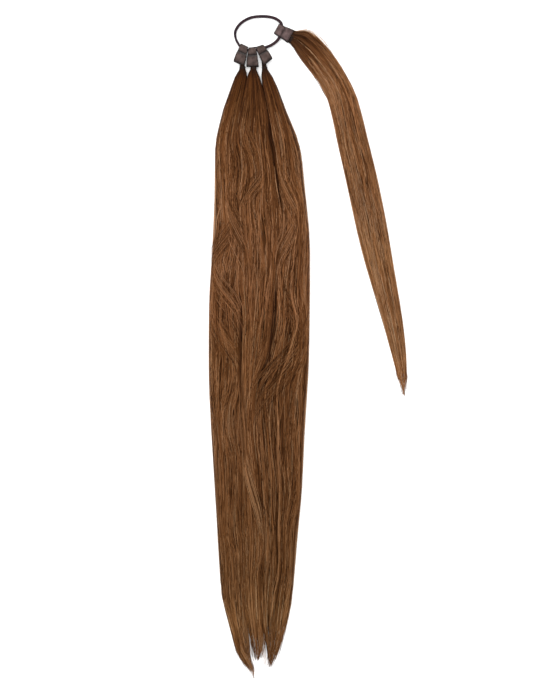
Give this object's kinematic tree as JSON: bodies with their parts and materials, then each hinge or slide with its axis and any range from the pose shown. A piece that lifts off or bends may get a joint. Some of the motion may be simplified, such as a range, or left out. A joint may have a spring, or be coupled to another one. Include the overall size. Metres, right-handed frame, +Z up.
{
  "type": "braid hairpiece",
  "caption": "Long straight hair in bundles for plaiting, with a shorter wrap strand, bound into folded tabs on an oval elastic ring that goes round a ponytail.",
  "frame": {"origin": "on the table under the middle of the whole outline, seen from above", "axes": "+Z up from the table; +Y along the fall of the hair towards the elastic ring; +X towards the wrap strand"},
  "size_m": [0.1802, 0.6018, 0.0116],
  "materials": {
    "elastic": "matte braided cover",
    "tape": "matte suede-like microfibre",
    "thread": "matte wound thread",
    "hair": "soft sheen"
  },
  "bodies": {
    "root": {"elastic_ring": "elastic", "tab_left": "tape", "tab_middle": "tape", "tab_right": "tape", "tab_wrap": "tape", "root_binding_left": "thread", "root_binding_middle": "thread", "root_binding_right": "thread", "root_binding_wrap": "thread", "hair_left": "hair", "hair_middle": "hair", "hair_right": "hair", "hair_wrap": "hair"}
  },
  "joints": []
}
